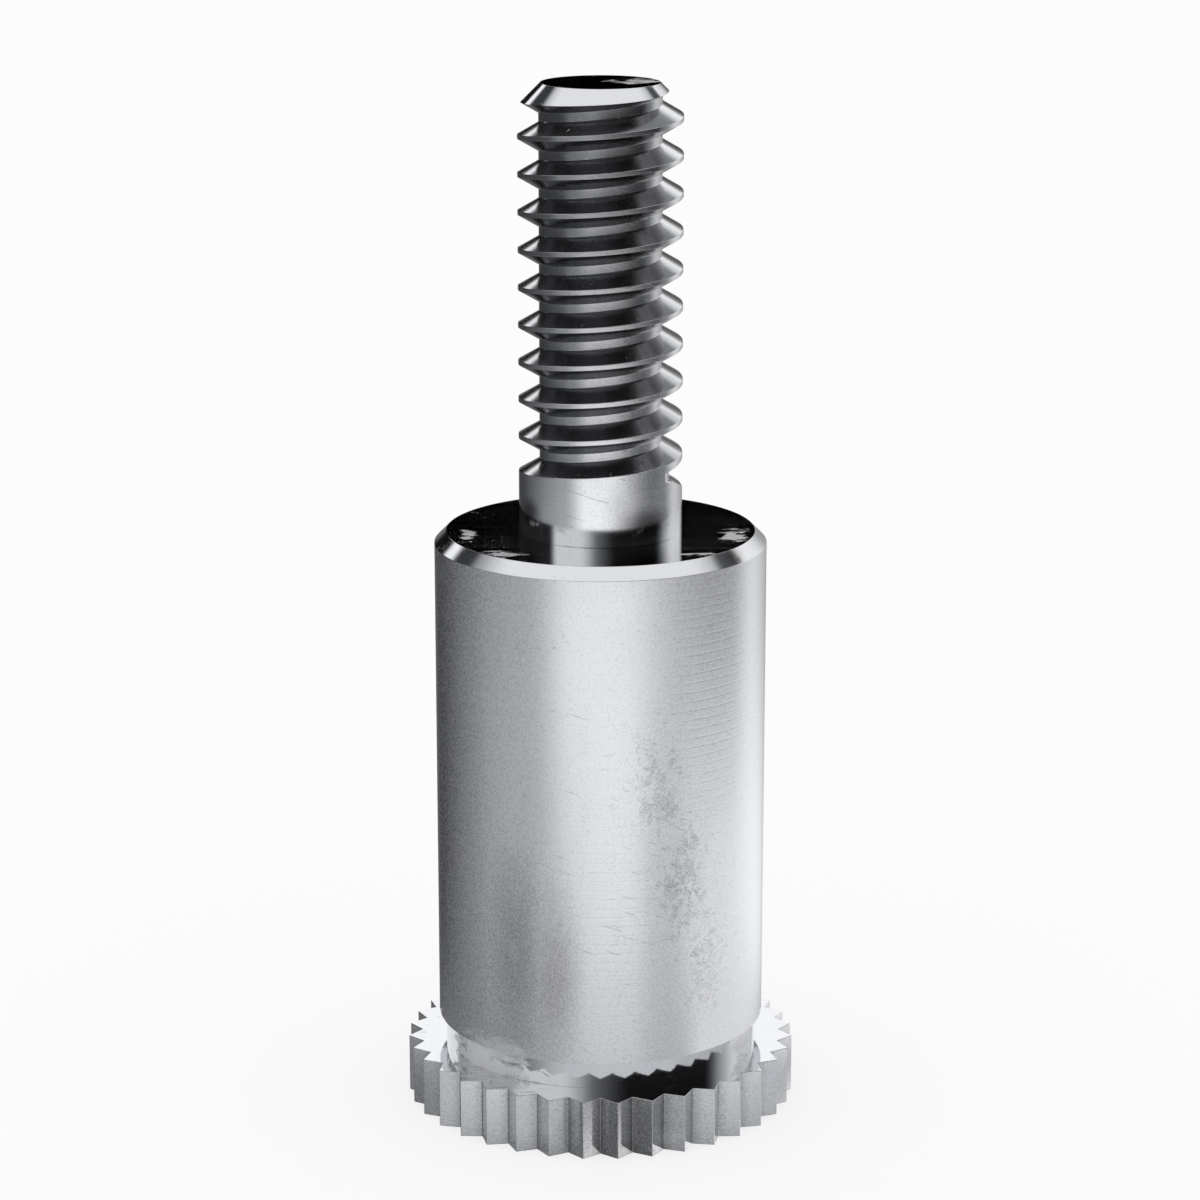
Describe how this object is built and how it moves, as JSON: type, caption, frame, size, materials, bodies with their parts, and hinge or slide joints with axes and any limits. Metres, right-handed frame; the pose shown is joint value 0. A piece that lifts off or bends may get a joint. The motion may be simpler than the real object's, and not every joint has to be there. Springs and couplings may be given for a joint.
{
  "type": "self-clinching standoff",
  "caption": "One-piece steel self-clinching standoff: toothed round flange, clinch groove, plain round barrel with a chamfered seat, and a threaded stud on top.",
  "frame": {"origin": "centre of the flange's flat underside, on the axis", "axes": "+Z along the axis from the flange towards the stud's end; -Y faces the viewer and passes through the root between two flange teeth"},
  "size_m": [0.0084, 0.0084, 0.0222],
  "materials": {
    "steel": "bright turned steel, fine machining lines, satin tooth faces"
  },
  "bodies": {
    "root": {"standoff": "steel"}
  },
  "joints": []
}
